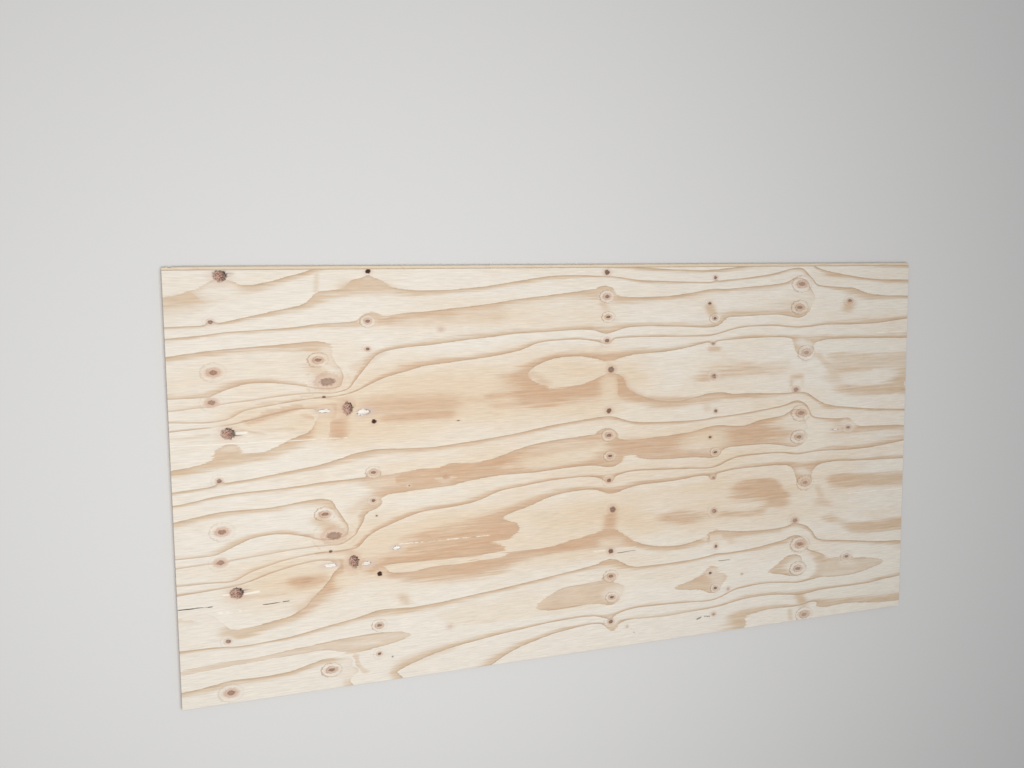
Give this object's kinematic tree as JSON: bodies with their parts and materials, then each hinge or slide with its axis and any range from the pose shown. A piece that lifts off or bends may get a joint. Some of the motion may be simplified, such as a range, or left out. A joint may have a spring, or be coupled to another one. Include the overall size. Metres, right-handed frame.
{
  "type": "tongued and grooved plywood sheet",
  "caption": "Flat rectangular softwood plywood sheet with a tongue along one long edge and a matching groove along the other.",
  "frame": {"origin": "centre of the whole sheet, tongue included, on its lower face", "axes": "+X along the length and the face grain, +Y across the sheet towards the tongue, +Z out of the good face"},
  "size_m": [2.44, 1.22, 0.018],
  "materials": {
    "plywood": "dry, sanded, unfinished rotary-cut pine veneer"
  },
  "bodies": {
    "root": {"plywood_sheet": "plywood"}
  },
  "joints": []
}
